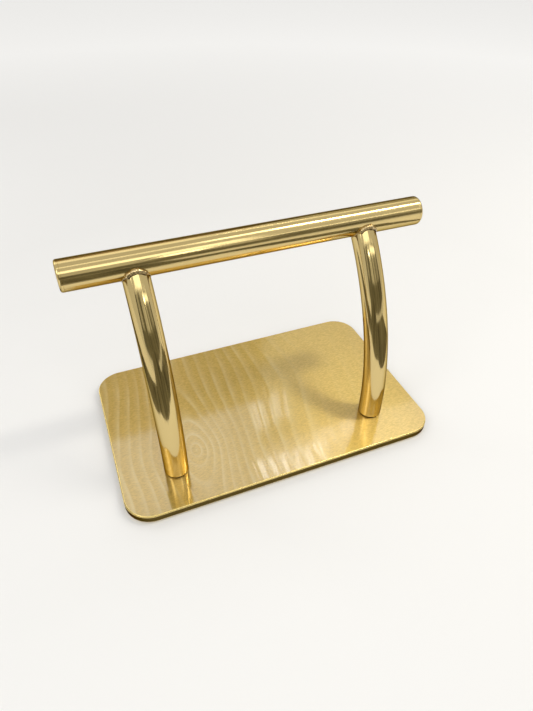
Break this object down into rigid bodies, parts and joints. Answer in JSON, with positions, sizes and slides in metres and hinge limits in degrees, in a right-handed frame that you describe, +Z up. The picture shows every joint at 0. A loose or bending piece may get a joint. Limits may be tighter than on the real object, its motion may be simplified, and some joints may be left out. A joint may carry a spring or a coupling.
{
  "type": "free-standing footrest",
  "caption": "Free-standing footrest: a straight round bar welded to bent tube legs on a flat base plate with rounded corners.",
  "frame": {"origin": "middle of the base plate's outline, on the floor under the pads", "axes": "+X along the bar to the picture's right, +Y to the back, +Z up; the legs' feet are in front of the middle"},
  "size_m": [0.396, 0.242, 0.256],
  "materials": {
    "plate_brushed_gold": "gold-coloured stainless steel, brushed along the bar, with a polished edge",
    "tube_polished_gold": "gold-coloured stainless steel, mirror polished",
    "weld_polished_gold": "weld bead, polished over and gold-coloured with the tubes",
    "fastener_steel": "plain turned steel",
    "pad_rubber": "matt black rubber"
  },
  "bodies": {
    "root": {"base_plate": "plate_brushed_gold", "foot_bar": "tube_polished_gold", "left_end_cap": "tube_polished_gold", "right_end_cap": "tube_polished_gold", "left_leg": "tube_polished_gold", "right_leg": "tube_polished_gold", "left_leg_weld": "weld_polished_gold", "right_leg_weld": "weld_polished_gold", "left_leg_plug": "fastener_steel", "right_leg_plug": "fastener_steel", "left_leg_screw": "fastener_steel", "right_leg_screw": "fastener_steel", "front_left_pad": "pad_rubber", "front_right_pad": "pad_rubber", "back_left_pad": "pad_rubber", "back_right_pad": "pad_rubber"}
  },
  "joints": []
}
